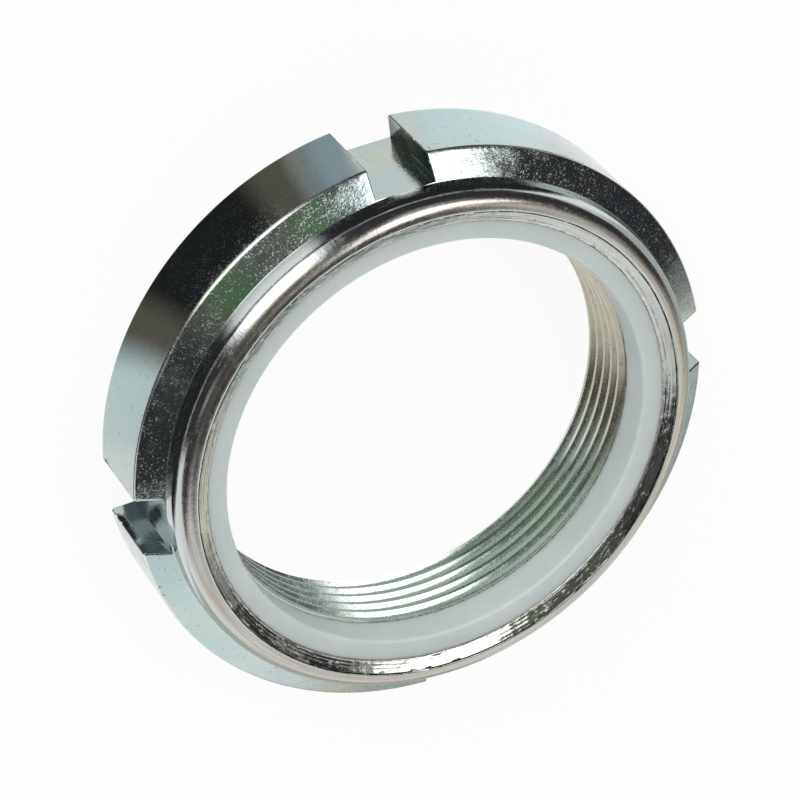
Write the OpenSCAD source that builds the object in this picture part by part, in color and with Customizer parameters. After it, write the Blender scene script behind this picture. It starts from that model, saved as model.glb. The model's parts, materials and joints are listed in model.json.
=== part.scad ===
// Self-locking slotted round nut: a turned steel body with spanner slots in its rim, and a
// polyamide locking ring that the rolled collar traps. The nut lies on its back face, with
// its axis on +Z and its slots on the X and Y axes. All lengths are in millimetres.

/* [Thread] */
// Nominal diameter of the thread
thread_d = 60; // [30:1:90]
// Pitch of the thread
thread_pitch = 2; // [1:0.25:4]
// Depth of the 45 degree lead-in at the back face
lead_in = 0.9; // [0.2:0.1:2]

/* [Locking ring] */
// Radial bite of the ring into the thread, measured from the nominal diameter
ring_grip = 0.75; // [0.2:0.05:1]
// Radial width of the ring
ring_w = 5; // [4:0.1:8]
// Height of the ring at its bore
ring_h = 4.85; // [3:0.05:7]
// Rise of the ring's front face from its bore to the lip
ring_swell = 0.2; // [0.1:0.05:0.6]
// Chamfer of the ring's outer front edge, under the lip
ring_chamfer = 0.8; // [0.2:0.1:1.5]
// Break of the ring's bore edges
ring_edge = 0.3; // [0.1:0.05:0.6]
// Gap between the ring and the collar that holds it
ring_fit = 0.05; // [0.02:0.01:0.15]

/* [Collar] */
// Wall of the collar around the ring
collar_wall = 2.1; // [1.2:0.1:4]
// Height of the collar above the front chamfer, up to the crest of the roll
collar_h = 3.5; // [2.8:0.1:6]
// Radius of the rolled edge
roll_r = 2.7; // [1.6:0.05:3]
// Radial reach of the lip from its crest towards the axis
lip_reach = 1.75; // [1:0.05:3]
// Drop of the lip's tip below its crest
lip_drop = 1; // [0.2:0.1:1.4]
// Thickness of the lip at its tip
lip_t = 0.75; // [0.65:0.05:1.2]

/* [Flange] */
// Radial width of the chamfered shoulder between the collar and the rim
shoulder_w = 3.6; // [2:0.1:10]
// Slope of the front chamfer against the back face
chamfer_angle = 30; // [15:1:45]
// Height of the rim's cylindrical wall
rim_h = 11.4; // [7:0.1:25]
// Edge break round the rim
edge_break = 0.35; // [0.1:0.05:0.8]

/* [Spanner slots] */
// Number of slots, evenly spaced round the rim
slot_count = 4; // [2:1:8]
// Width of a slot
slot_w = 8; // [4:0.5:12]
// Depth of a slot's flat floor below the rim
slot_depth = 3.5; // [1.5:0.1:4.2]

/* [Hidden] */
$fn = 180;

// Basic profile of a metric thread: the crest of the nut stands this far inside the nominal radius.
thread_depth = thread_pitch * sqrt(3) / 2 * 5 / 8;
// Overrun of a cut past the surface that it opens
cut = 1;

// Radii, from the thread outwards
minor_r = thread_d / 2 - thread_depth;
ring_bore_r = thread_d / 2 - ring_grip;
ring_r = ring_bore_r + ring_w;
seat_r = ring_r + ring_fit;
collar_r = seat_r + collar_wall;
rim_r = collar_r + shoulder_w;
crest_r = collar_r - roll_r;
tip_r = crest_r - lip_reach;
slot_floor_r = rim_r - slot_depth;

// Heights, from the back face upwards
shoulder_z = rim_h + shoulder_w * tan(chamfer_angle);
crest_z = shoulder_z + collar_h;
roll_z = crest_z - roll_r;
tip_z = crest_z - lip_drop;
under_z = tip_z - lip_t;
ring_lip_z = under_z - ring_fit;
ring_face_z = tip_z - ring_fit;
ring_top_z = ring_face_z - ring_swell;
seat_z = ring_top_z - ring_h;

// Turned blank: flange, front chamfer, collar and the lip rolled over from it.
module blank_section() {
    polygon([
        [minor_r, lead_in],
        [minor_r + lead_in, 0],
        [rim_r - edge_break, 0],
        [rim_r, edge_break],
        [rim_r, rim_h - edge_break],
        [rim_r - edge_break, rim_h + edge_break * tan(chamfer_angle)],
        [collar_r, shoulder_z],
        [collar_r, roll_z],
        [crest_r, roll_z],
        [crest_r, crest_z],
        [tip_r, tip_z],
        [minor_r, tip_z]
    ]);
    translate([crest_r, roll_z])
        circle(r = roll_r);
}

// Space inside the collar: the ring's seat, and the mouth that the lip leaves open.
module seat_section() {
    polygon([
        [0, seat_z],
        [seat_r, seat_z],
        [seat_r, under_z - ring_chamfer],
        [seat_r - ring_chamfer, under_z],
        [tip_r, under_z],
        [tip_r, crest_z + cut],
        [0, crest_z + cut]
    ]);
}

module spanner_slots() {
    for (i = [0 : slot_count - 1])
        rotate(i * 360 / slot_count)
            translate([slot_floor_r, -slot_w / 2, -cut])
                cube([slot_depth + cut, slot_w, shoulder_z + 2 * cut]);
}

module nut_body() {
    color([0.74, 0.77, 0.76])
        difference() {
            rotate_extrude()
                difference() {
                    blank_section();
                    seat_section();
                }
            spanner_slots();
        }
}

// Locking ring: it fills the seat, and its front face swells up inside the lip.
module locking_ring() {
    color([0.86, 0.90, 0.91])
        rotate_extrude()
            polygon([
                [ring_bore_r, seat_z + ring_edge],
                [ring_bore_r + ring_edge, seat_z],
                [ring_r, seat_z],
                [ring_r, ring_lip_z - ring_chamfer],
                [ring_r - ring_chamfer, ring_lip_z],
                [tip_r - ring_fit, ring_lip_z],
                [tip_r - ring_fit, ring_face_z],
                [ring_bore_r + ring_edge, ring_top_z],
                [ring_bore_r, ring_top_z - ring_edge]
            ]);
}

nut_body();
locking_ring();
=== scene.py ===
"""Looks of a self-locking slotted round nut: zinc-plated steel with a milky polyamide locking ring."""
import json
import logging
import math
from dataclasses import dataclass
from enum import Enum
from typing import Any, Optional, Sequence, Union

import bmesh
import bpy
from mathutils import Matrix, Vector, noise


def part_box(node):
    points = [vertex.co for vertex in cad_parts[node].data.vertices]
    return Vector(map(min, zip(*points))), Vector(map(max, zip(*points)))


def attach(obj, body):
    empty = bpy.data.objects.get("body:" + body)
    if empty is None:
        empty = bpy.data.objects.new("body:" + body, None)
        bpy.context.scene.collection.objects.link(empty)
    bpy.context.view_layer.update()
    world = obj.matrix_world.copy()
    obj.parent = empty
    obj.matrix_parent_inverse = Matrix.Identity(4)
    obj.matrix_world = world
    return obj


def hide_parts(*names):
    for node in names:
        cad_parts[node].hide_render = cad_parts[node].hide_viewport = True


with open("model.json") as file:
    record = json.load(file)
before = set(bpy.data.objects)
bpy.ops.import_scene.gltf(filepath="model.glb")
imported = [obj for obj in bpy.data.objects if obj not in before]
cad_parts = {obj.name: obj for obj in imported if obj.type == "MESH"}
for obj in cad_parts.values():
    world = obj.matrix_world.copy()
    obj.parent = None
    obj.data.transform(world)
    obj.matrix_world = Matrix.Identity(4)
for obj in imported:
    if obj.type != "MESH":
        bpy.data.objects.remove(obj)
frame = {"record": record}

LOG = logging.getLogger("slotted_nut")
MM = 0.001
FULL_TURN = 2 * math.pi
QUARTER = math.pi / 2
BODY = "root"
BLACK = (0.022, 0.022, 0.024)
MICRON = 1e-6

# Angle in degrees above which an edge is shaded as a sharp one
SHARP_ANGLE = 32.0
# Points closer than this, in metres, become one
WELD = 0.002 * MM
# Profile of the thread, in parts of a pitch
CREST_SHARE = 0.25
FLANK_SHARE = 0.3125
THREAD_ROWS = (0.0, CREST_SHARE, CREST_SHARE + FLANK_SHARE, 1.0 - FLANK_SHARE)
# Grooves of the lip: share of its reach from the crest, and depth in millimetres
LIP_GROOVES = (
    (0.03, 0.0), (0.08, 0.16), (0.13, 0.0), (0.30, 0.0), (0.38, 0.03), (0.46, 0.0),
    (0.56, 0.0), (0.62, 0.035), (0.68, 0.0), (0.80, 0.0), (0.84, 0.03), (0.88, 0.0),
)
# Steps of a lug's section that make its front edge, counted from the section's end
EDGE_FIRST = 9
EDGE_END = 5
# Steps of the front section that lie hidden in the ring's seat
SEAT_STEPS = 2
# Bite of the ring into the thread, and its gap to the collar, in millimetres
RING_GRIP = 0.75
RING_FIT = 0.05

Colour = tuple[float, float, float]
Point = tuple[float, float]
Number = Union[float, "Value"]


class Surface(Enum):
    """Surfaces of the steel body that take a finish of their own; the value is the material index."""

    RIM = 0
    COLLAR = 1
    SLOT = 2
    THREAD = 3
    WALL = 4
    TORN_SHADED_WALL = 5
    EDGE = 6
    SLOT_CORNER = 7


class Lay(Enum):
    """Direction of the tool marks in a finish."""

    ROUND = "round the axis"
    AXIAL = "along the axis"


class Value:
    """A number or colour that varies over a surface, written in Python arithmetic."""

    def __init__(self, net: "Net", socket: Optional[bpy.types.NodeSocket]) -> None:
        """Keeps the node network and the output socket that gives the number."""
        self.net = net
        self.socket = socket

    def __add__(self, other: Number) -> "Value":
        """Sum."""
        return self.net.math("ADD", self, other)

    def __sub__(self, other: Number) -> "Value":
        """Difference."""
        return self.net.math("SUBTRACT", self, other)

    def __rsub__(self, other: Number) -> "Value":
        """Difference from a number."""
        return self.net.math("SUBTRACT", other, self)

    def __mul__(self, other: Number) -> "Value":
        """Product."""
        return self.net.math("MULTIPLY", self, other)

    def __truediv__(self, other: Number) -> "Value":
        """Quotient."""
        return self.net.math("DIVIDE", self, other)

    def __abs__(self) -> "Value":
        """Size without sign."""
        return self.net.math("ABSOLUTE", self, 0.0)

    __radd__ = __add__
    __rmul__ = __mul__

    def above(self, low: float, high: float) -> "Value":
        """A soft step, from 0 at the low number to 1 at the high one."""
        inputs = {"Value": self, "From Min": low, "From Max": high, "To Min": 0.0, "To Max": 1.0}
        return self.net.add("ShaderNodeMapRange", {"interpolation_type": "SMOOTHSTEP"}, inputs)

    def within(self, centre: float, half: float, soft: float) -> "Value":
        """A band that is 1 inside, by its half width and the width of its soft edges."""
        return 1.0 - abs(self - centre).above(half - soft / 2, half + soft / 2)


class Net:
    """A node network that is filled from Python."""

    def __init__(self, tree: bpy.types.NodeTree) -> None:
        """Empties the tree and keeps it."""
        tree.nodes.clear()
        self.tree = tree

    def add(
        self,
        kind: str,
        settings: Optional[dict[str, Any]] = None,
        inputs: Optional[dict[Union[str, int], Any]] = None,
        output: Union[str, int] = 0,
    ) -> Value:
        """Adds one node.

        Args:
            kind: the node's type.
            settings: properties that are set first.
            inputs: socket name or index to a number, a colour, a vector or another node's output.
            output: the name or index of the output that is returned.

        Returns:
            The chosen output.
        """
        node = self.tree.nodes.new(kind)
        for name, setting in (settings or {}).items():
            setattr(node, name, setting)
        for name, given in (inputs or {}).items():
            socket = node.inputs[name]
            if isinstance(given, Value):
                self.tree.links.new(given.socket, socket)
            elif isinstance(given, tuple) and socket.type == "RGBA":
                socket.default_value = (*given, 1.0)
            else:
                socket.default_value = given
        return Value(self, node.outputs[output] if len(node.outputs) else None)

    def math(self, operation: str, first: Number, second: Number) -> Value:
        """One Math node on two numbers."""
        return self.add("ShaderNodeMath", {"operation": operation}, {0: first, 1: second})

    def vector(self, operation: str, first: Any, second: Any, output: str = "Vector") -> Value:
        """One Vector Math node."""
        return self.add("ShaderNodeVectorMath", {"operation": operation}, {0: first, 1: second}, output)

    def mix(self, factor: Number, first: Union[Colour, Value], second: Union[Colour, Value]) -> Value:
        """Blends two colours; 0 gives the first and 1 the second."""
        return self.add("ShaderNodeMix", {"data_type": "RGBA"}, {0: factor, 6: first, 7: second}, 2)

    def grain(self, where: Value, per_metre: float, detail: float = 2.0, roughness: float = 0.55) -> Value:
        """Noise with about that many grains in a metre."""
        inputs = {"Vector": where, "Scale": per_metre, "Detail": detail, "Roughness": roughness}
        return self.add("ShaderNodeTexNoise", {"noise_dimensions": "3D"}, inputs, "Fac")

    def place(self) -> Value:
        """Position on the object, in metres in the shared frame."""
        return self.add("ShaderNodeTexCoord", output="Object")

    def polar(self, where: Value) -> tuple[Value, Value, Value]:
        """Turns a position into polar coordinates about the nut's axis.

        Args:
            where: the position.

        Returns:
            Radius in metres, angle in radians and height in metres.
        """
        split = self.add("ShaderNodeSeparateXYZ", inputs={0: where}).socket.node
        x, y, z = (Value(self, socket) for socket in split.outputs)
        level = self.vector("MULTIPLY", where, (1.0, 1.0, 0.0))
        radius = self.vector("LENGTH", level, (0.0, 0.0, 0.0), "Value")
        return radius, self.math("ARCTAN2", y, x), z

    def coat(self, inputs: dict[Union[str, int], Any]) -> None:
        """Coats the material with a principled surface."""
        shader = self.add("ShaderNodeBsdfPrincipled", inputs=inputs)
        self.add("ShaderNodeOutputMaterial", inputs={"Surface": shader})

    def join(self, x: Number, y: Number, z: Number) -> Value:
        """A vector from three numbers."""
        return self.add("ShaderNodeCombineXYZ", inputs={0: x, 1: y, 2: z})

    def bump(self, height: Value, depth: float, base: Optional[Value] = None) -> Value:
        """Bends the surface normal by a height map.

        Args:
            height: the height, in parts of depth.
            depth: the height of 1, in metres.
            base: an earlier bump that this one lies on.

        Returns:
            The normal.
        """
        inputs: dict[Union[str, int], Any] = {"Height": height, "Strength": 1.0, "Distance": depth}
        if base is not None:
            inputs["Normal"] = base
        return self.add("ShaderNodeBump", inputs=inputs)


def new_material(name: str) -> tuple[bpy.types.Material, Net]:
    """Makes a material with an empty node network.

    Args:
        name: the material's name.

    Returns:
        The material and its network.
    """
    material = bpy.data.materials.new(name)
    material.use_nodes = True
    return material, Net(material.node_tree)


@dataclass(frozen=True)
class ZincFinish:
    """Bright zinc plate on one kind of worked surface; depths are in micrometres."""

    name: str
    lay: Lay = Lay.ROUND
    pale: Colour = (0.485, 0.56, 0.525)
    blue: Colour = (0.45, 0.54, 0.54)
    straw: Colour = (0.54, 0.56, 0.45)
    frost: Colour = (0.80, 0.84, 0.83)
    soot_and_shade: Colour = (0.10, 0.11, 0.10)
    roughness: float = 0.10
    grazing: Colour = (1.0, 1.0, 1.0)
    frost_share: float = 0.6
    speck_per_metre: float = 2700.0
    speck_depth: float = 15.0
    line_per_metre: float = 5200.0
    line_depth: float = 2.0
    wave_depth: float = 8.0
    pit_share: float = 0.45
    # Share of dark beads of painted shade
    shade_bead_share: float = 0.0
    calm_below: float = 0.0
    sector_tint: Colour = (0.47, 0.43, 0.34)
    sector_angle: float = 0.0
    sector_half: float = 0.0
    # Start radius and slope of a painted reflection on the outer back corner
    reflection_from: float = 0.0
    reflection_slope: float = 1.25
    scratch_r: float = 37.35

    def dress(self) -> bpy.types.Material:
        """Makes the material.

        Returns:
            The finished material.
        """
        material, net = new_material(self.name)
        where = net.place()
        radius, angle, height = net.polar(where)
        cloud = net.grain(where, 95.0, 3.0, 0.6)
        cloud_far = net.grain(net.vector("ADD", where, (0.31, 0.17, 0.43)), 70.0, 2.0)
        if self.lay is Lay.ROUND:
            along = net.join(radius, height, angle * 0.0004)
        else:
            along = net.vector("MULTIPLY", where, (1.0, 1.0, 0.03))
        lines = net.grain(along, self.line_per_metre, 3.0, 0.7)
        speck = net.grain(where, self.speck_per_metre, 3.0, 0.65)
        patch = net.grain(where, 420.0, 3.0, 0.6)

        colour = net.mix(cloud.above(0.42, 0.62), self.pale, self.blue)
        colour = net.mix(cloud_far.above(0.55, 0.72) * 0.8, colour, self.straw)
        pits = net.grain(net.vector("ADD", where, (0.7, 0.2, 0.1)), 1500.0, 2.0, 0.5).above(0.64, 0.70)
        colour = net.mix(pits * patch.above(0.40, 0.60) * self.pit_share, colour, self.soot_and_shade)
        crystal = net.grain(net.vector("ADD", where, (0.13, 0.57, 0.29)), 3600.0, 2.0, 0.7)
        frosted = (crystal + patch * 0.2).above(0.67, 0.76) * self.frost_share
        if self.calm_below > 0:
            lively = height.above((self.calm_below - 0.4) * MM, self.calm_below * MM)
            frosted = frosted * (0.75 + lively * 0.25)
        # A pale wedge in the frost colour on the wall's outer back corner: a painted reflection.
        if self.reflection_from > 0:
            painted_reflection = ((radius - self.reflection_from * MM) * self.reflection_slope - height).above(-0.1 * MM, 0.5 * MM)
            scratch = radius.within(self.scratch_r * MM, 0.05 * MM, 0.05 * MM)
            scratch = scratch * height.above(6.0 * MM, 7.0 * MM)
            colour = net.mix(painted_reflection * 0.9 + scratch * 0.6, colour, self.frost)
        # A brownish tint over one sector round the axis.
        if self.sector_half > 0:
            middle = math.radians(self.sector_angle)
            towards = (math.cos(middle), math.sin(middle), 0.0)
            ahead = net.vector("DOT_PRODUCT", where, towards, "Value") / radius
            half = math.radians(self.sector_half)
            colour = net.mix(net.math("ARCCOSINE", ahead, 0.0).within(0.0, half, half), colour, self.sector_tint)
        colour = net.mix(frosted * 0.8, colour, self.frost)
        # Dark beads of painted shade along the slots' rounded corners.
        if self.shade_bead_share > 0:
            shade_beads = net.grain(net.vector("ADD", where, (0.41, 0.23, 0.11)), 1100.0, 2.0).above(0.31, 0.39)
            colour = net.mix(shade_beads * self.shade_bead_share, colour, self.soot_and_shade)
        rough = self.roughness + patch.above(0.40, 0.70) * 0.06 + pits * 0.15 + frosted * 0.45

        waves = net.bump(net.grain(where, 240.0, 2.0), self.wave_depth * MICRON)
        marks = net.bump(lines, self.line_depth * MICRON, waves)
        specks = net.bump(speck * (0.45 + patch.above(0.35, 0.65) * 0.8), self.speck_depth * MICRON, marks)
        inputs = {"Base Color": colour, "Metallic": 1.0, "Roughness": rough, "Normal": specks}
        net.coat({**inputs, "Specular Tint": self.grazing})
        return material


@dataclass(frozen=True)
class BurnishedFinish:
    """Zinc plate on the collar, rubbed brown where the edge was rolled over the ring."""

    name: str
    pale: Colour = (0.63, 0.67, 0.66)
    brown: Colour = (0.43, 0.375, 0.325)
    beige: Colour = (0.47, 0.46, 0.42)
    frost: Colour = (0.82, 0.83, 0.80)
    cream: Colour = (0.68, 0.68, 0.62)
    soot_and_shade: Colour = (0.06, 0.055, 0.05)
    crest_r: float = 34.05
    tip_r: float = 32.05

    def dress(self) -> bpy.types.Material:
        """Makes the material.

        Returns:
            The finished material.
        """
        material, net = new_material(self.name)
        where = net.place()
        radius, angle, height = net.polar(where)
        lines = net.grain(net.join(radius, height, angle * 0.0006), 4200.0, 3.0, 0.7)
        ticks = net.grain(net.join(angle * 0.034, radius * 0.05, height * 0.05), 3200.0, 2.0)
        crumbs = net.grain(net.join(angle * 0.032, radius * 0.6, 0.0), 1500.0, 3.0, 0.6)
        speck = net.grain(where, 2700.0, 3.0, 0.65)
        patch = net.grain(where, 300.0, 3.0, 0.6)

        rubbed = radius.within((self.crest_r + 0.9) * MM, 0.8 * MM, 0.6 * MM)
        rubbed = rubbed * (0.5 + lines.above(0.35, 0.65) * 0.5)
        inner = 1.0 - radius.above((self.crest_r - 0.3) * MM, (self.crest_r + 0.1) * MM)
        colour = net.mix(rubbed, self.pale, self.brown)
        colour = net.mix(inner * 0.8, colour, self.beige)
        colour = net.mix(inner * lines.above(0.52, 0.62) * 0.35, colour, self.soot_and_shade)
        burr = 1.0 - radius.above((self.tip_r + 0.12) * MM, (self.tip_r + 0.34) * MM)
        colour = net.mix(burr * crumbs.above(0.38, 0.5), colour, self.cream)
        # Dark lines in the lip's grooves and just inside the crest: painted shade.
        groove_shade = radius.within((self.tip_r + 0.5) * MM, 0.08 * MM, 0.1 * MM) * patch.above(0.42, 0.6) * 0.7
        groove_shade = groove_shade + radius.within((self.crest_r - 0.16) * MM, 0.1 * MM, 0.1 * MM)
        colour = net.mix(groove_shade * 0.85, colour, self.soot_and_shade)
        crystal = net.grain(net.join(angle * 0.010, radius, height), 3400.0, 2.0, 0.7)
        frosted = (crystal + patch * 0.16).above(0.66, 0.74) * (0.25 + inner * 0.7)
        colour = net.mix(frosted * 0.7, colour, self.frost)
        rough = 0.11 + rubbed * 0.12 + patch.above(0.4, 0.7) * 0.04 + frosted * 0.4 + burr * 0.2

        waves = net.bump(net.grain(where, 260.0, 2.0), 7 * MICRON)
        marks = net.bump(lines, 8 * MICRON, waves)
        marks = net.bump(ticks, 4 * MICRON, marks)
        specks = net.bump(speck * (0.4 + patch.above(0.35, 0.65)), 9 * MICRON, marks)
        net.coat({"Base Color": colour, "Metallic": 1.0, "Roughness": rough, "Normal": specks})
        return material


@dataclass(frozen=True)
class NylonFinish:
    """Milky polyamide with a satin turned face."""

    name: str
    milk: Colour = (0.63, 0.685, 0.68)
    deep: Colour = (0.59, 0.655, 0.645)
    grime: Colour = (0.30, 0.31, 0.27)
    foot_z: float = 10.88
    roughness: float = 0.38

    def dress(self) -> bpy.types.Material:
        """Makes the material.

        Returns:
            The finished material.
        """
        material, net = new_material(self.name)
        where = net.place()
        radius, angle, height = net.polar(where)
        cloud = net.grain(where, 150.0, 3.0, 0.6)
        lines = net.grain(net.join(radius, height, angle * 0.0005), 3800.0, 2.0, 0.6)
        speck = net.grain(where, 1900.0, 1.0).above(0.73, 0.77)
        colour = net.mix(cloud.above(0.35, 0.65), self.milk, self.deep)
        colour = net.mix(speck * 0.4, colour, self.grime)
        foot = 1.0 - height.above((self.foot_z + 0.05) * MM, (self.foot_z + 0.4) * MM)
        crumbs = net.grain(net.join(angle * 0.03, height, 0.0), 1500.0, 2.0).above(0.52, 0.60)
        colour = net.mix(foot * crumbs * 0.8, colour, self.grime)
        rough = self.roughness + cloud.above(0.4, 0.7) * 0.1
        marks = net.bump(lines, 3 * MICRON, net.bump(net.grain(where, 900.0, 2.0), 10 * MICRON))
        net.coat({
            "Base Color": colour,
            "Roughness": rough,
            "Normal": marks,
            "Subsurface Weight": 0.8,
            "Subsurface Radius": (1.0, 1.1, 1.15),
            "Subsurface Scale": 2.0 * MM,
            "IOR": 1.53,
        })
        return material


class MeshMaker:
    """Points in millimetres and faces, gathered and made into one mesh object in metres."""

    def __init__(self) -> None:
        """Starts with nothing."""
        self.points: list[tuple[float, float, float]] = []
        self.faces: list[tuple[Sequence[int], int]] = []

    def point(self, radius: float, angle: float, height: float) -> int:
        """Adds a point by radius, angle in radians and height, and gives its number."""
        self.points.append((radius * math.cos(angle), radius * math.sin(angle), height))
        return len(self.points) - 1

    def face(self, corners: Sequence[int], surface: int = 0) -> None:
        """Adds a face with its material index."""
        self.faces.append((corners, surface))

    def make(
        self, name: str, materials: Sequence[bpy.types.Material], cut: Sequence[int] = ()
    ) -> bpy.types.Object:
        """Makes the object.

        Args:
            name: the object's name.
            materials: the materials, in the order of the faces' indices.
            cut: material indices of cut faces, whose borders are sharp.

        Returns:
            The object, linked to the scene.
        """
        mesh = bpy.data.meshes.new(name)
        made = bmesh.new()
        points = [made.verts.new(Vector(point) * MM) for point in self.points]
        for corners, surface in self.faces:
            face = made.faces.new([points[corner] for corner in corners])
            face.material_index = surface
            face.smooth = True
        bmesh.ops.remove_doubles(made, verts=made.verts, dist=WELD)
        bmesh.ops.dissolve_degenerate(made, edges=made.edges, dist=WELD)
        bmesh.ops.recalc_face_normals(made, faces=made.faces)
        made.edges.index_update()
        borders = [edge.index for edge in made.edges if self._bounds_cut(edge, cut)]
        made.to_mesh(mesh)
        made.free()
        mesh.set_sharp_from_angle(angle=math.radians(SHARP_ANGLE))
        for border in borders:
            mesh.edges[border].use_edge_sharp = True
        for material in materials:
            mesh.materials.append(material)
        piece = bpy.data.objects.new(name, mesh)
        bpy.context.scene.collection.objects.link(piece)
        return piece

    @staticmethod
    def _bounds_cut(edge: bmesh.types.BMEdge, cut: Sequence[int]) -> bool:
        """Tells whether a cut face ends at the edge."""
        surfaces = {face.material_index for face in edge.link_faces}
        return len(surfaces) > 1 and any(surface in cut for surface in surfaces)


def arc(centre: Point, radius: float, start: float, end: float, steps: int) -> list[Point]:
    """Points on an arc, in equal steps from one direction to another in degrees, both included."""
    angles = [math.radians(start + (end - start) * step / steps) for step in range(steps + 1)]
    return [(centre[0] + radius * math.cos(a), centre[1] + radius * math.sin(a)) for a in angles]


def ripple(angle: float, radius: float, per_mm: float, seed: float) -> float:
    """Smooth noise round the axis, from about -1 to 1, with waves per millimetre at the radius."""
    reach = radius * per_mm
    return noise.noise(Vector((reach * math.cos(angle), reach * math.sin(angle), seed)))


@dataclass(frozen=True)
class Column:
    """One section through the body: in a slot, or in a lug at a share of the way between its walls."""

    quarter: float
    fixed: Optional[float] = None
    share: float = 0.0
    offset: float = 0.0
    inset: float = 0.0

    def angle(self, radius: float, half_slot: float) -> float:
        """Angle of the section at a radius, so that the walls of the slots are flat.

        Args:
            radius: distance from the axis.
            half_slot: half the slot's width.

        Returns:
            The angle in radians.
        """
        if self.fixed is not None:
            return self.fixed
        side = math.asin((half_slot + self.offset) / radius)
        return self.quarter + side + self.share * (QUARTER - 2 * side)


@dataclass
class NutBody:
    """Turned steel body: slotted rim, front chamfer, thread and rolled collar. Sizes are in millimetres."""

    half_width: float
    crest_z: float
    minor_r: float
    pitch: float = 2.0
    lead_in: float = 0.9
    slot_w: float = 8.0
    slot_depth: float = 3.5
    rim_h: float = 11.4
    slope: float = 30.0
    shoulder_w: float = 3.6
    edge_r: float = 0.42
    base_r: float = 0.06
    slot_edge: float = 0.16
    floor_row: float = 0.3
    edge_row: float = 0.2
    roll_r: float = 2.7
    lean: float = 13.0
    foot_out: float = 0.15
    lip_reach: float = 1.75
    lip_drop: float = 1.0
    lip_t: float = 0.75
    tip_round: float = 0.22
    seat_wall: float = 2.1
    seat_chamfer: float = 0.8
    seat_z: float = 10.8785
    lug_steps: int = 148
    slot_steps: int = 12
    edge_steps: int = 3

    def __post_init__(self) -> None:
        """Works out the radii and heights that follow from the driving sizes."""
        self.half_slot = self.slot_w / 2
        self.rim_r = math.hypot(self.half_width, self.half_slot)
        self.floor_r = self.rim_r - self.slot_depth
        self.corner_r = math.hypot(self.floor_r, self.half_slot)
        self.collar_r = self.rim_r - self.shoulder_w
        self.crest_r = self.collar_r - self.roll_r
        self.roll_z = self.crest_z - self.roll_r
        self.tip_r = self.crest_r - self.lip_reach
        self.tip_z = self.crest_z - self.lip_drop
        self.under_z = self.tip_z - self.lip_t
        self.seat_r = self.collar_r - self.seat_wall
        self.depth = self.pitch * math.sqrt(3) / 2 * 5 / 8

    def front_z(self, radius: float) -> float:
        """Height of the front chamfer at a radius."""
        return self.rim_h + (self.rim_r - radius) * math.tan(math.radians(self.slope))

    def columns(self) -> list[Column]:
        """Sections in order round the axis, from the slot on +X.

        Returns:
            The columns of all four slots and lugs.
        """
        half_angle = math.asin(self.half_slot / self.corner_r)
        made: list[Column] = []
        rounds = [QUARTER * step / self.edge_steps for step in range(self.edge_steps + 1)]
        edges = [(self.slot_edge * (1 - math.cos(a)), self.slot_edge * (1 - math.sin(a))) for a in rounds]
        for number in range(4):
            quarter = number * QUARTER
            for step in range(1, self.slot_steps):
                made.append(Column(quarter, fixed=quarter + half_angle * (2 * step / self.slot_steps - 1)))
            made += [Column(quarter, None, 0.0, offset, inset) for offset, inset in edges]
            shares = [step / self.lug_steps for step in range(1, self.lug_steps)]
            made += [Column(quarter, None, share, self.slot_edge) for share in shares]
            made += [Column(quarter, None, 1.0, offset, inset) for offset, inset in reversed(edges)]
        return made

    def lug_path(self) -> list[tuple[float, float, float, float]]:
        """Section of a lug outside the slot's floor, from the back face to the front chamfer.

        Returns:
            Radius, height and the two parts of the outward normal.
        """
        slope = math.radians(self.slope)
        out = (math.sin(slope), math.cos(slope))
        turn = 90 - self.slope
        reach = self.edge_r * math.tan(math.radians(turn / 2))
        foot_r = self.corner_r + self.floor_row
        path = [(foot_r, 0.0, 0.0, -1.0), (self.rim_r - self.edge_r - self.edge_row, 0.0, 0.0, -1.0)]
        for radius, height in arc((self.rim_r - self.edge_r, self.edge_r), self.edge_r, -90, 0, 4):
            out_r = (radius - self.rim_r + self.edge_r) / self.edge_r
            path.append((radius, height, out_r, height / self.edge_r - 1))
        for share in (0.06, 0.5, 0.94):
            path.append((self.rim_r, self.edge_r + (self.rim_h - reach - self.edge_r) * share, 1.0, 0.0))
        middle = (self.rim_r - self.edge_r, self.rim_h - reach)
        for radius, height in arc(middle, self.edge_r, 0, turn, 4):
            out_r = (radius - middle[0]) / self.edge_r
            path.append((radius, height, out_r, (height - middle[1]) / self.edge_r))
        last = path[-1][0]
        for radius in (last - self.edge_row, (last + self.corner_r) / 2, foot_r):
            path.append((radius, self.front_z(radius), *out))
        return path

    def collar_path(self, angle: float) -> list[Point]:
        """Section of the collar and its rolled lip, from the chamfer to the ring's seat.

        Args:
            angle: angle round the axis, which places the small unevenness of the rolled edge.

        Returns:
            Radii and heights.
        """
        slope = math.radians(self.slope)
        foot_r = self.collar_r + self.foot_out
        turn = 90 - self.slope - self.lean
        reach = self.base_r * math.tan(math.radians(turn / 2))
        start = (foot_r + reach * math.cos(slope), self.front_z(foot_r) - reach * math.sin(slope))
        centre = (start[0] + self.base_r * math.sin(slope), start[1] + self.base_r * math.cos(slope))
        path = [(start[0] + 0.06 * math.cos(slope), start[1] - 0.06 * math.sin(slope))]
        path += arc(centre, self.base_r, 270 - self.slope, 180 + self.lean, 3)
        roll = arc((self.crest_r, self.roll_z), self.roll_r, self.lean, 87, 14)
        path.append((path[-1][0] * 0.92 + roll[0][0] * 0.08, path[-1][1] * 0.92 + roll[0][1] * 0.08))
        path.append((path[-1][0] * 0.1 + roll[0][0] * 0.9, path[-1][1] * 0.1 + roll[0][1] * 0.9))
        path += roll

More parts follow.
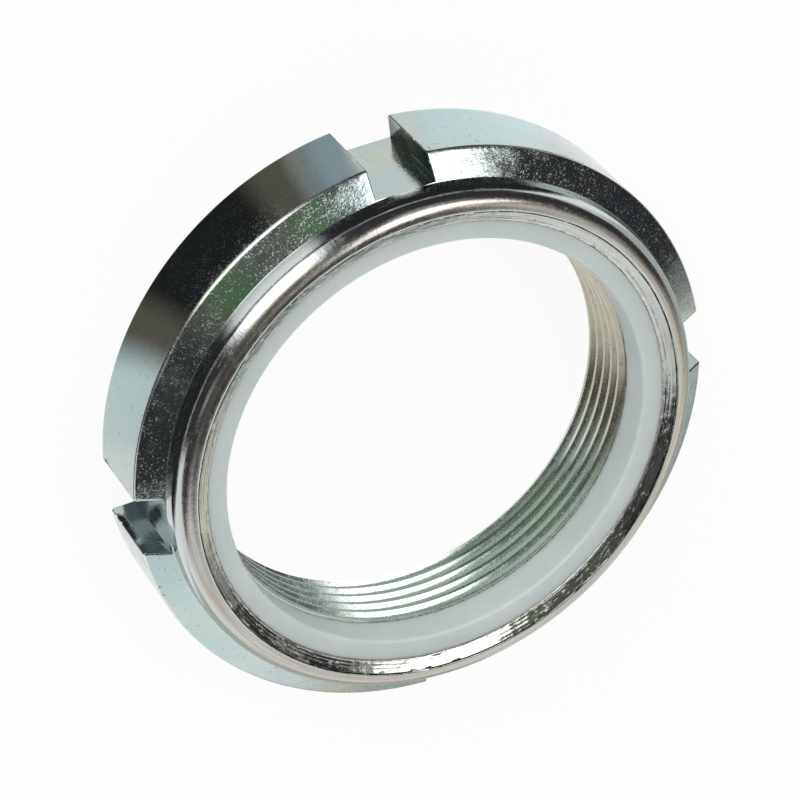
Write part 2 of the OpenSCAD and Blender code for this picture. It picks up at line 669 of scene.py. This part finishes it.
        fall = math.atan2(self.lip_drop, self.lip_reach)
        uneven = 0.05 * ripple(angle, self.crest_r, 0.55, 3.0) + 0.03 * ripple(angle, self.crest_r, 1.6, 5.0)
        path.append((self.crest_r + uneven, self.crest_z - 0.012))
        for share, groove in LIP_GROOVES:
            ragged = 0.05 * share * ripple(angle, self.tip_r, 1.1, 7.0 + share)
            worn = groove * (0.6 + ripple(angle, self.tip_r, 0.4, 17.0 + share))
            radius = self.crest_r + uneven * (1 - share) - self.lip_reach * share
            height = self.crest_z - self.lip_drop * share + ragged - max(worn, 0.0) - 0.01
            path.append((radius, height))
        middle_r = self.tip_r + self.tip_round
        normal = (-math.sin(fall), math.cos(fall))
        line_z = self.crest_z - (self.crest_r - middle_r - self.tip_round * normal[0]) * math.tan(fall)
        middle = (middle_r, line_z - self.tip_round * normal[1])
        torn = 0.09 * ripple(angle, self.tip_r, 0.9, 11.0) + 0.08 * ripple(angle, self.tip_r, 2.1, 13.0)
        for radius, height in arc(middle, self.tip_round, 90 + math.degrees(fall), 180, 4):
            path.append((radius + max(torn, -0.03), height))
        path.append((self.tip_r, self.under_z))
        path.append((self.seat_r - self.seat_chamfer, self.under_z))
        path.append((self.seat_r, self.under_z - self.seat_chamfer))
        path.append((self.seat_r, self.seat_z))
        return path

    def thread_steps(self) -> list[float]:
        """Heights of the thread's rows at angle 0, from a pitch below the back face to above the seat."""
        turns = math.ceil(self.seat_z / self.pitch) + 2
        return [self.pitch * (turn - 1 + row) for turn in range(turns) for row in THREAD_ROWS]

    def thread_point(self, step: float, angle: float) -> Point:
        """One point of the right-hand thread.

        Args:
            step: the row's height at angle 0.
            angle: angle round the axis.

        Returns:
            Radius and height, kept between the back face and the seat.
        """
        rise = self.pitch * (angle % FULL_TURN) / FULL_TURN
        height = min(max(step + rise, 0.0), self.seat_z)
        phase = ((height - rise) / self.pitch) % 1.0
        flank = max(0.0, min(1.0, (phase - CREST_SHARE) / FLANK_SHARE, (1.0 - phase) / FLANK_SHARE))
        radius = self.minor_r + self.depth * flank
        return max(radius, self.minor_r + self.lead_in - height), height

    def build(self, finishes: Sequence[bpy.types.Material]) -> bpy.types.Object:
        """Builds the mesh.

        Args:
            finishes: the materials, in the order of Surface.

        Returns:
            The body.
        """
        maker = MeshMaker()
        lug = self.lug_path()
        steps = self.thread_steps()
        columns = self.columns()
        fronts, threads, backs, lugs = [], [], [], []
        for column in columns:
            inner = column.angle(self.corner_r, self.half_slot)
            edge_r = self.corner_r
            if column.fixed is not None:
                edge_r = self.floor_r / math.cos(column.fixed - column.quarter)
            edge_z = self.front_z(edge_r)
            front = [maker.point(edge_r, inner, edge_z)]
            for radius, height in self.collar_path(inner):
                lifted = max(height, edge_z) if radius > edge_r else height
                front.append(maker.point(min(radius, edge_r), inner, lifted))
            helix = [self.thread_point(step, inner) for step in steps]
            thread = [maker.point(radius, inner, height) for radius, height in helix]
            rings = (self.minor_r + 1.6, self.corner_r - 0.8, edge_r)
            back = [maker.point(radius, inner, 0.0) for radius in rings]
            lug_points: list[int] = []
            if column.fixed is None:
                for radius, height, out_r, out_z in lug:
                    shifted = radius - column.inset * out_r
                    angle = column.angle(shifted, self.half_slot)
                    lug_points.append(maker.point(shifted, angle, height - column.inset * out_z))
                lug_points = [back[-1], *lug_points, front[0]]
            fronts.append(front)
            threads.append(thread)
            backs.append(back)
            lugs.append(lug_points)
        count = len(columns)
        for here in range(count):
            there = (here + 1) % count
            seam = self._seam_shift(columns[here], columns[there])
            self._strip(maker, fronts[here], fronts[there], self._front_surfaces(len(fronts[here])))
            above = [fronts[here][-1], threads[here][-1]]
            shifted = [threads[there][min(row + seam, len(steps) - 1)] for row in range(len(steps))]
            self._strip(maker, above, [fronts[there][-1], shifted[-1]], [Surface.THREAD.value])
            self._strip(maker, threads[here][::-1], shifted[::-1], [Surface.THREAD.value] * (len(steps) - 1))
            below = [threads[here][0], *backs[here]]
            self._strip(maker, below, [shifted[0], *backs[there]], [Surface.RIM.value] * 3)
            if lugs[here] and lugs[there]:
                edge = columns[here].inset > 0 or columns[there].inset > 0
                self._strip(maker, lugs[here], lugs[there], self._lug_surfaces(len(lugs[here]), edge))
            else:
                corners = (backs[here][-1], backs[there][-1], fronts[there][0], fronts[here][0])
                maker.face(corners, Surface.SLOT.value)
                # The near wall of this slot has deep tool marks and painted shade.
                torn = columns[here].quarter == 2 * QUARTER
                near = Surface.TORN_SHADED_WALL if torn else Surface.WALL
                for side, surface in ((lugs[here], near), (lugs[there], Surface.WALL)):
                    if side:
                        maker.face(side, surface.value)
        piece = maker.make("nut_body_plated", finishes, (Surface.SLOT.value,))
        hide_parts("nut_body")
        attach(piece, BODY)
        return piece

    @staticmethod
    def _seam_shift(here: Column, there: Column) -> int:
        """Rows by which the thread's rows move up where the turn closes, at angle 0."""
        middle_here = here.fixed is not None and here.fixed < 0
        middle_there = there.fixed is not None and there.fixed >= 0
        closes = middle_here and middle_there and here.quarter == 0 and there.quarter == 0
        return len(THREAD_ROWS) if closes else 0

    @staticmethod
    def _front_surfaces(count: int) -> list[int]:
        """Material indices of the front section's steps: chamfer, collar, then the hidden seat."""
        collar = [Surface.COLLAR.value] * (count - SEAT_STEPS - 2)
        return [Surface.RIM.value, *collar] + [Surface.THREAD.value] * SEAT_STEPS

    @staticmethod
    def _lug_surfaces(count: int, edge: bool) -> list[int]:
        """Material indices of a lug's steps: the front edge with a painted highlight, and the slots' rounded
        corners with painted highlights and painted shade.
        """
        if edge:
            return [Surface.SLOT_CORNER.value] * (count - 1)
        front = range(count - EDGE_FIRST, count - EDGE_END)
        return [Surface.EDGE.value if step in front else Surface.RIM.value for step in range(count - 1)]

    @staticmethod
    def _strip(maker: MeshMaker, here: Sequence[int], there: Sequence[int], surfaces: Sequence[int]) -> None:
        """Adds the faces between two sections, leaving out those that close up to nothing."""
        for row, surface in enumerate(surfaces):
            corners = (here[row], there[row], there[row + 1], here[row + 1])
            places = [maker.points[corner] for corner in corners]
            kept = [corner for turn, corner in enumerate(corners) if places[turn] != places[turn - 1]]
            if len(kept) > 2:
                maker.face(kept, surface)


@dataclass
class LockingRing:
    """Polyamide ring trapped by the rolled lip. Sizes are in millimetres."""

    bore_r: float
    outer_r: float
    seat_z: float
    lip_r: float
    lip_z: float
    under_z: float
    swell: float = 0.2
    bore_round: float = 0.36
    foot_round: float = 0.12
    chamfer: float = 0.8
    steps: int = 480

    def section(self) -> list[Point]:
        """Closed section of the ring, from the bore's lower edge upwards.

        Returns:
            Radii and heights.
        """
        top_z = self.lip_z - self.swell
        round_r = self.bore_round
        wall_z = self.seat_z + self.foot_round
        path = arc((self.bore_r + self.foot_round, wall_z), self.foot_round, 270, 180, 3)
        wall_h = top_z - round_r - wall_z
        for share in (0.1, 0.5, 0.9):
            path.append((self.bore_r, wall_z + wall_h * share))
        path += arc((self.bore_r + round_r, top_z - round_r), round_r, 180, 100, 8)
        first_r, first_z = path[-1]
        span = self.lip_r - first_r
        for share in (0.08, 0.3, 0.6, 0.85, 0.96, 1.0):
            path.append((first_r + span * share, first_z + (self.lip_z - first_z) * share ** 0.8))
        path += [(self.lip_r, self.under_z), (self.outer_r - self.chamfer, self.under_z)]
        path += [(self.outer_r, self.under_z - self.chamfer), (self.outer_r, self.seat_z)]
        return path

    def build(self, finish: bpy.types.Material) -> bpy.types.Object:
        """Builds the mesh.

        Args:
            finish: the ring's material.

        Returns:
            The ring.
        """
        maker = MeshMaker()
        section = self.section()
        rows = []
        for step in range(self.steps):
            angle = FULL_TURN * step / self.steps
            rows.append([maker.point(radius, angle, height) for radius, height in section])
        for step, here in enumerate(rows):
            there = rows[(step + 1) % self.steps]
            for place in range(len(section)):
                after = (place + 1) % len(section)
                maker.face((here[place], there[place], there[after], here[after]))
        piece = maker.make("locking_ring_milky", [finish])
        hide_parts("locking_ring")
        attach(piece, BODY)
        return piece


@dataclass(frozen=True)
class Panel:
    """A soft-edged bright panel of the studio, by bearing from the camera and elevation in degrees."""

    bearing: float
    half_bearing: float
    low: float
    high: float
    level: float
    tint: Colour = (1.0, 1.0, 1.0)
    soft: float = 8.0


@dataclass(frozen=True)
class Card:
    """A soft-ended card on the floor: bearings in degrees from the camera, radii in millimetres.

    The tone fills the core, and the edge's tone the ends beyond it.
    """

    name: str
    bearing: float
    half: float
    soft: float
    inner: float
    outer: float
    fade: float = 4.0
    tone: Colour = BLACK
    edge_tone: Colour = BLACK
    core: float = 200.0


@dataclass
class Studio:
    """Floor, backdrop, soft light and camera."""

    azimuth: float = 28.358
    elevation: float = 50.778
    roll: float = 138.59
    distance: float = 0.44359
    aim: tuple[float, float, float] = (-0.000789, 0.001459, 0.001354)
    lens: float = 152.57
    shade: Colour = (0.040, 0.037, 0.042)
    floor_half: float = 4.0
    # Heights in metres: the cards lie one below the other, and all above the floor
    floor_z: float = -5e-5
    card_z: float = -1e-5
    card_step: float = 1e-6
    card_steps: int = 48
    lamp_size: float = 0.8
    panels: tuple[Panel, ...] = (
        Panel(0.0, 200.0, 80.0, 100.0, 0.48, soft=10.0),
        Panel(4.0, 48.0, 57.0, 84.0, 0.14, (1.0, 0.95, 0.87), 12.0),
        Panel(26.0, 9.0, 57.0, 73.0, 0.17, (0.70, 1.20, 0.55), 8.0),
        Panel(-25.0, 8.0, 58.0, 74.0, 0.20, (0.70, 1.20, 0.58), 8.0),
        Panel(-110.0, 16.0, 47.0, 66.0, 0.45, soft=6.0),
        Panel(-140.0, 18.0, 34.0, 50.0, 0.45, soft=6.0),
        Panel(90.0, 24.0, 56.0, 76.0, 0.12, soft=10.0),
        Panel(-72.0, 22.0, 50.5, 79.0, 4.0, soft=4.0),
        Panel(-88.0, 12.0, 47.3, 54.0, 4.0, soft=2.0),
        Panel(-131.0, 12.0, 50.0, 62.0, 1.2, soft=5.0),
        Panel(159.0, 55.0, -20.0, 56.0, 1.0, (0.97, 1.0, 1.0)),
        Panel(-158.0, 12.0, -20.0, 40.0, 1.06, (1.0, 1.0, 0.88), 6.0),
        Panel(148.0, 28.0, 4.0, 30.0, 1.14, (0.98, 1.0, 1.0), 6.0),
        Panel(-147.0, 7.0, 8.0, 32.0, 0.40, soft=6.0),
        Panel(140.0, 28.0, -6.0, 1.0, 0.46, (1.0, 0.99, 0.94), 3.0),
        Panel(-140.0, 28.0, -6.0, 3.0, 0.46, soft=4.0),
        Panel(-58.0, 14.0, 36.0, 50.0, 0.32, soft=5.0),
        Panel(57.0, 6.0, 38.0, 52.0, 0.55, soft=8.0),
        Panel(7.0, 19.0, -14.0, 55.0, 2.3, soft=15.0),
        Panel(88.0, 18.0, -20.0, 22.0, 0.90),
        Panel(-97.0, 15.0, -20.0, 5.0, 0.80),
    )
    cards: tuple[Card, ...] = (
        Card("card_rim_front", 9.0, 25.0, 10.0, 38.0, 52.0, 2.0, edge_tone=(0.15, 0.128, 0.105), core=14.0),
        Card("card_rim_pale", 42.0, 12.0, 6.0, 38.0, 52.0, 2.0, (0.82, 0.89, 0.92)),
        Card("card_rim_slot", -20.0, 5.5, 5.0, 38.0, 52.0, 2.0, (0.42, 0.47, 0.52)),
        Card("card_rim_bright", -54.0, 13.0, 8.0, 38.0, 52.0, 2.0, (0.98, 1.08, 1.12)),
        Card("card_rim_straw", 87.0, 10.0, 6.0, 43.0, 52.0, 2.0, (0.96, 0.93, 0.76)),
        Card("card_wall_left", 133.0, 33.0, 10.0, 54.0, 420.0, 20.0, (0.50, 0.51, 0.46)),
        Card("card_wall_right", -133.0, 33.0, 10.0, 54.0, 420.0, 20.0, (0.46, 0.48, 0.47)),
        Card("card_line_front", 7.0, 30.0, 10.0, 95.0, 150.0),
        Card("card_far_left", -46.0, 36.0, 8.0, 50.0, 420.0, 40.0),
        Card("card_far_right", 48.5, 28.5, 8.0, 50.0, 420.0, 40.0),
        Card("card_slot_left", 61.1, 4.6, 1.0, 38.6, 40.7, 0.2, (0.03, 0.035, 0.04)),
        Card("card_slot_wall", 67.5, 4.5, 2.0, 33.0, 38.6, 0.4, (0.12, 0.14, 0.15)),
        Card("card_slot_floor", 60.0, 6.0, 2.0, 34.0, 38.7, 0.3, (0.30, 0.36, 0.36)),
        Card("card_bore_far", 181.0, 20.0, 12.0, 16.0, 29.0, 1.0, (0.11, 0.13, 0.11)),
        Card("card_bore_low", 117.0, 45.0, 12.0, 16.0, 29.0, 1.0, (0.40, 0.45, 0.44)),
        Card("card_bore_mid", 116.0, 64.0, 16.0, 0.1, 15.0, 2.0, (0.54, 0.68, 0.59)),
    )

    def build_camera(self) -> bpy.types.Object:
        """Makes the camera of the photograph.

        Returns:
            The camera.
        """
        turn, rise, roll = (math.radians(angle) for angle in (self.azimuth, self.elevation, self.roll))
        back = Vector((math.sin(turn) * math.cos(rise), -math.cos(turn) * math.cos(rise), math.sin(rise)))
        flat_right = Vector((math.cos(turn), math.sin(turn), 0.0))
        flat_up = back.cross(flat_right)
        right = math.cos(roll) * flat_right + math.sin(roll) * flat_up
        axes = Matrix((right, back.cross(right), back)).transposed().to_4x4()
        data = bpy.data.cameras.new("camera")
        data.sensor_width = 36.0
        data.lens = self.lens
        data.clip_start = 0.01
        camera = bpy.data.objects.new("camera", data)
        camera.matrix_world = Matrix.Translation(Vector(self.aim) + back * self.distance) @ axes
        bpy.context.scene.collection.objects.link(camera)
        bpy.context.scene.camera = camera
        return camera

    def bearing_vector(self, bearing: float) -> tuple[float, float, float]:
        """Level direction at a bearing from the camera, counted round the nut's axis."""
        turn = math.radians(self.azimuth - 90 + bearing)
        return math.cos(turn), math.sin(turn), 0.0

    def build_sky(self) -> bpy.types.World:
        """Makes the studio's soft panels around the object.

        Returns:
            The world.
        """
        world = bpy.data.worlds.new("studio")
        world.use_nodes = True
        net = Net(world.node_tree)
        towards = net.add("ShaderNodeTexCoord", output="Generated")
        rise = net.math("ARCSINE", net.vector("DOT_PRODUCT", towards, (0.0, 0.0, 1.0), "Value"), 0.0)
        level = net.math("COSINE", rise, 0.0)
        colour: Union[Colour, Value] = self.shade
        for panel in self.panels:
            ahead = net.vector("DOT_PRODUCT", towards, self.bearing_vector(panel.bearing), "Value")
            aside = net.math("ARCCOSINE", ahead / (level + 1e-5), 0.0)
            soft = math.radians(panel.soft)
            middle = math.radians(panel.low + panel.high) / 2
            half = math.radians(panel.high - panel.low) / 2
            mask = aside.within(0.0, math.radians(panel.half_bearing), soft) * rise.within(middle, half, soft)
            colour = net.mix(mask, colour, tuple(part * panel.level for part in panel.tint))
        light = net.add("ShaderNodeBackground", inputs={"Color": colour, "Strength": 1.0})
        net.add("ShaderNodeOutputWorld", inputs={"Surface": light})
        bpy.context.scene.world = world
        return world

    def build_floor(self) -> bpy.types.Object:
        """Makes the white floor, which keeps the object's shadow.

        Returns:
            The floor.
        """
        material, net = new_material("white_floor")
        rays = net.add("ShaderNodeLightPath").socket.node
        kinds = ("Is Camera Ray", "Is Glossy Ray", "Is Transmission Ray")
        seen = [Value(net, rays.outputs[kind]) for kind in kinds]
        shown = net.math("MAXIMUM", net.math("MAXIMUM", seen[0], seen[1]), seen[2])
        lit = net.add("ShaderNodeBsdfDiffuse", inputs={"Color": (0.95, 0.95, 0.95)})
        white = net.add("ShaderNodeEmission", inputs={"Color": (1.0, 1.0, 1.0), "Strength": 1.0})
        mixed = net.add("ShaderNodeMixShader", inputs={0: shown * 0.93, 1: lit, 2: white})
        net.add("ShaderNodeOutputMaterial", inputs={"Surface": mixed})
        half = self.floor_half
        corners = [(-half, -half), (half, -half), (half, half), (-half, half)]
        return self._plate("floor", material, corners, self.floor_z)

    def build_card(self, card: Card, height: float) -> bpy.types.Object:
        """Makes a card on the floor, which only reflections see.

        Args:
            card: its place and tone.
            height: its height in metres.

        Returns:
            The card.
        """
        material, net = new_material(card.name)
        where = net.place()
        ahead = net.vector("DOT_PRODUCT", where, self.bearing_vector(card.bearing), "Value")
        radius = net.polar(where)[0]
        aside = net.math("ARCCOSINE", ahead / radius, 0.0)
        soft = math.radians(card.soft)
        half = math.radians(card.half)
        faded = radius.above((card.outer - card.fade) * MM, card.outer * MM)
        mask = aside.within(0.0, half, soft) * (1.0 - faded)
        core = aside.within(0.0, math.radians(card.core), math.radians(card.core) / 2)
        clear = net.add("ShaderNodeBsdfTransparent")
        tone = net.mix(core, card.edge_tone, card.tone)
        glow = net.add("ShaderNodeEmission", inputs={"Color": tone, "Strength": 1.0})
        mixed = net.add("ShaderNodeMixShader", inputs={0: mask, 1: clear, 2: glow})
        net.add("ShaderNodeOutputMaterial", inputs={"Surface": mixed})
        spread = min(card.half + card.soft, 180.0)
        middle = self.azimuth - 90 + card.bearing
        outline = arc((0.0, 0.0), card.outer * MM, middle - spread, middle + spread, self.card_steps)
        outline += arc((0.0, 0.0), card.inner * MM, middle + spread, middle - spread, self.card_steps)
        plate = self._plate(card.name, material, outline, height)
        plate.visible_camera = False
        plate.visible_diffuse = False
        plate.visible_shadow = False
        return plate

    @staticmethod
    def _plate(
        name: str, material: bpy.types.Material, outline: Sequence[Point], height: float
    ) -> bpy.types.Object:
        """Makes a level plate of the stage from its outline.

        Args:
            name: the plate's name.
            material: its material.
            outline: its corners, in metres.
            height: its height in metres.

        Returns:
            The plate.
        """
        mesh = bpy.data.meshes.new(name)
        mesh.from_pydata([(x, y, height) for x, y in outline], [], [tuple(range(len(outline)))])
        mesh.materials.append(material)
        plate = bpy.data.objects.new(name, mesh)
        bpy.context.scene.collection.objects.link(plate)
        return plate

    def build_backdrop(self) -> bpy.types.Object:
        """Makes a white wall far round the floor, which only the camera sees.

        Returns:
            The backdrop.
        """
        material, net = new_material("white_backdrop")
        white = net.add("ShaderNodeEmission", inputs={"Color": (1.0, 1.0, 1.0), "Strength": 1.0})
        net.add("ShaderNodeOutputMaterial", inputs={"Surface": white})
        mesh = bpy.data.meshes.new("backdrop")
        made = bmesh.new()
        bmesh.ops.create_cone(made, segments=64, radius1=3.0, radius2=3.0, depth=6.0)
        made.to_mesh(mesh)
        made.free()
        mesh.materials.append(material)
        wall = bpy.data.objects.new("backdrop", mesh)
        for ray in ("diffuse", "glossy", "transmission", "volume_scatter", "shadow"):
            setattr(wall, f"visible_{ray}", False)
        bpy.context.scene.collection.objects.link(wall)
        return wall

    def build_lamp(self, name: str, bearing: float, rise: float, watts: float) -> bpy.types.Object:
        """Makes a large soft lamp, which reflections don't show.

        Args:
            name: the lamp's name.
            bearing: degrees from the camera, round the nut's axis.
            rise: elevation in degrees.
            watts: its power.

        Returns:
            The lamp.
        """
        data = bpy.data.lights.new(name, "AREA")
        data.size = self.lamp_size
        data.energy = watts
        lamp = bpy.data.objects.new(name, data)
        level = Vector(self.bearing_vector(bearing)) * math.cos(math.radians(rise))
        towards = level + Vector((0.0, 0.0, math.sin(math.radians(rise))))
        lamp.matrix_world = Matrix.Translation(towards) @ towards.to_track_quat("Z", "Y").to_matrix().to_4x4()
        lamp.visible_glossy = False
        bpy.context.scene.collection.objects.link(lamp)
        return lamp

    def build(self) -> None:
        """Builds the whole studio."""
        bpy.context.scene.view_settings.view_transform = "Standard"
        self.build_camera()
        self.build_sky()
        self.build_floor()
        self.build_backdrop()
        for number, card in enumerate(self.cards):
            self.build_card(card, self.card_z - self.card_step * number)
        self.build_lamp("soft_top", 40.0, 82.0, 0.15)
        self.build_lamp("soft_front", -15.0, 26.0, 2.5)
        self.build_lamp("soft_side", -60.0, 30.0, 1.0)


def main() -> None:
    """Builds the nut and its studio."""
    logging.basicConfig(level=logging.INFO, format="%(message)s")
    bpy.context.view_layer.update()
    thread = next(mount for mount in frame["record"]["mounts"] if mount["name"] == "thread")
    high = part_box("nut_body")[1]
    body = NutBody(half_width=high[0] / MM, crest_z=high[2] / MM, minor_r=thread["dims"]["r_mm"])
    looks = (
        ZincFinish("zinc_turned", calm_below=body.rim_h),
        BurnishedFinish("zinc_rolled", crest_r=body.crest_r, tip_r=body.tip_r),
        ZincFinish("zinc_slot", lay=Lay.AXIAL, roughness=0.09, line_depth=4.0, frost_share=0.2),
        # The thread's zinc is paler than the rest of the plate: painted light in the bore.
        ZincFinish("zinc_thread", roughness=0.21, pale=(0.68, 0.76, 0.70), blue=(0.64, 0.73, 0.68),
                   straw=(0.74, 0.73, 0.63), frost_share=0.4, speck_depth=4.0, wave_depth=2.0, pit_share=0.1,
                   sector_angle=-172.0, sector_half=34.0),
        ZincFinish("zinc_milled", lay=Lay.AXIAL, roughness=0.09, line_depth=4.0, pale=(0.46, 0.52, 0.52),
                   blue=(0.40, 0.46, 0.47), straw=(0.45, 0.47, 0.42), frost_share=0.2),
        # Dark zinc with a dim grazing tint: painted shade on one slot wall, with a painted reflection on its
        # back corner.
        ZincFinish("zinc_torn", lay=Lay.AXIAL, roughness=0.14, line_depth=10.0, pale=(0.11, 0.125, 0.12),
                   blue=(0.07, 0.08, 0.08), straw=(0.15, 0.16, 0.14), frost=(0.62, 0.64, 0.58),
                   grazing=(0.3, 0.3, 0.3), frost_share=0.25, reflection_from=body.floor_r + 0.1),
        # Pale zinc on the lugs' front edges: a painted highlight.
        ZincFinish("zinc_edge", roughness=0.20, pale=(0.84, 0.85, 0.80), blue=(0.80, 0.84, 0.84),
                   straw=(0.86, 0.84, 0.74), frost_share=0.3, speck_depth=12.0),
        # Pale zinc with dark beads: a painted highlight and painted shade on the slots' rounded corners.
        ZincFinish("zinc_burr", roughness=0.22, pale=(0.86, 0.87, 0.84), blue=(0.84, 0.86, 0.86),
                   straw=(0.86, 0.84, 0.74), soot_and_shade=(0.04, 0.045, 0.04), shade_bead_share=0.9,
                   speck_depth=12.0),
    )
    piece = body.build([look.dress() for look in looks])
    LOG.info("%s: %d faces", piece.name, len(piece.data.polygons))

    ring_low, ring_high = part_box("locking_ring")
    ring = LockingRing(
        bore_r=body.minor_r + body.depth - RING_GRIP,
        outer_r=ring_high[0] / MM,
        seat_z=ring_low[2] / MM,
        lip_r=body.tip_r - RING_FIT,
        lip_z=ring_high[2] / MM,
        under_z=body.under_z - RING_FIT,
    )
    piece = ring.build(NylonFinish("polyamide_milky").dress())
    LOG.info("%s: %d faces", piece.name, len(piece.data.polygons))

    Studio().build()
    LOG.info("studio ready")


if __name__ == "__main__":
    main()
